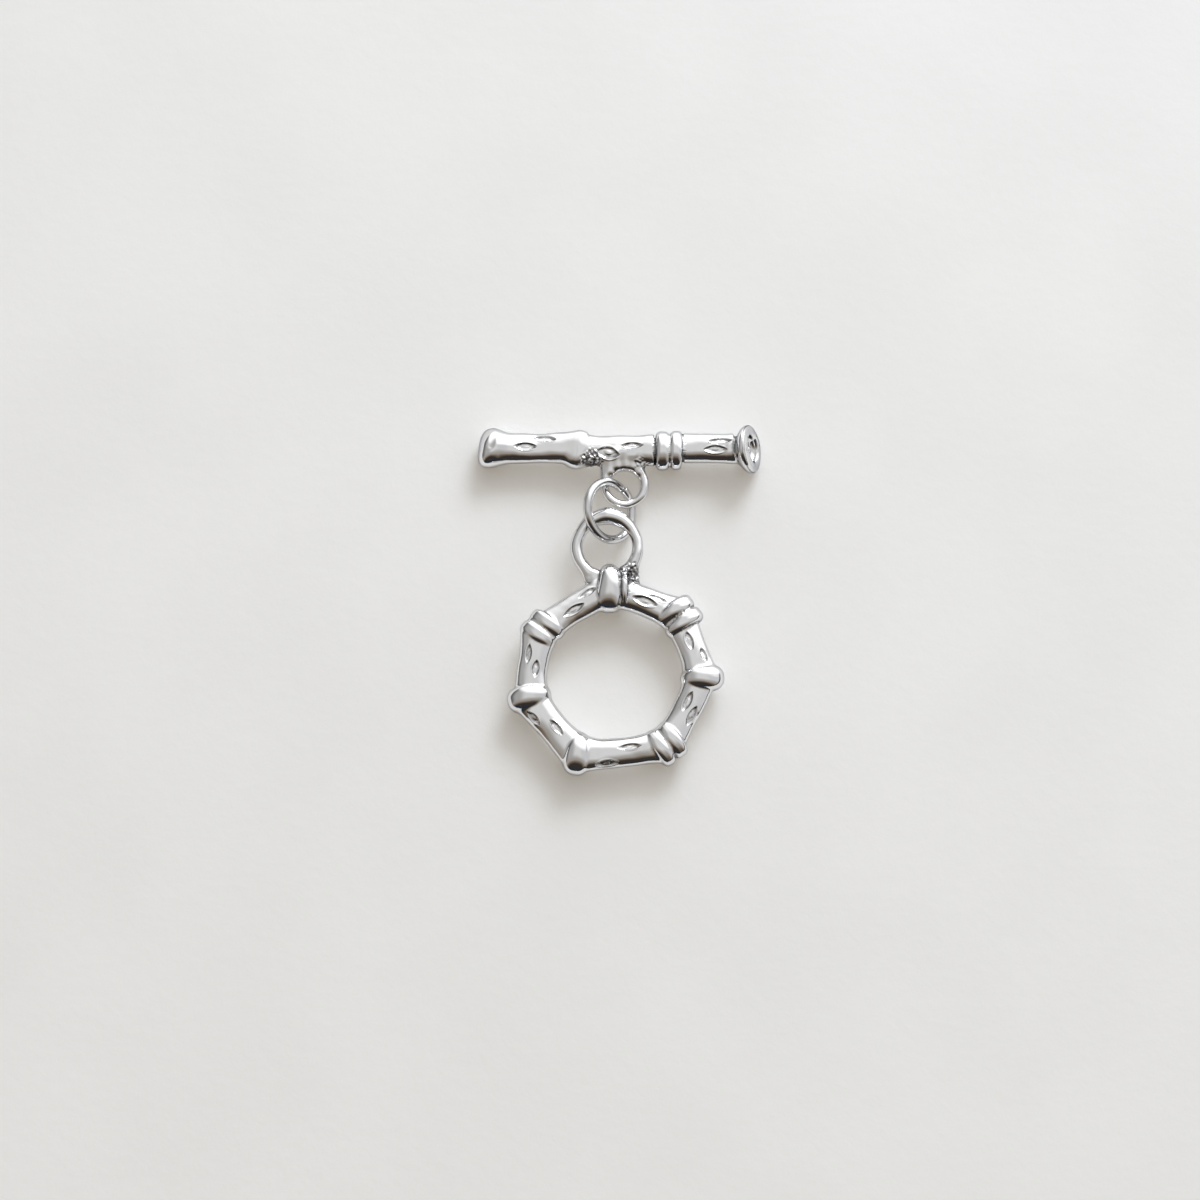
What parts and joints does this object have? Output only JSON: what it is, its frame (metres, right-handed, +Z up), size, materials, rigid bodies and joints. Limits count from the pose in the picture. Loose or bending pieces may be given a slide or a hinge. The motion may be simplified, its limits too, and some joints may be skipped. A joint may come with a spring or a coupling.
{
  "type": "toggle clasp",
  "caption": "Bamboo-style toggle clasp: a T bar and a seven-sided ring with cast loops, joined by an open jump ring and lying flat.",
  "frame": {"origin": "on the surface that the clasp lies on, under the middle of its box", "axes": "+X along the toggle bar to the wide rim, +Y from the ring towards the bar, +Z up from the surface"},
  "size_m": [0.023, 0.029, 0.004],
  "materials": {
    "plated_casting": "bright rhodium-plated zinc casting",
    "plated_wire": "bright rhodium-plated wire"
  },
  "bodies": {
    "root": {"toggle_bar": "plated_casting", "jump_ring": "plated_wire", "toggle_ring": "plated_casting"}
  },
  "joints": []
}
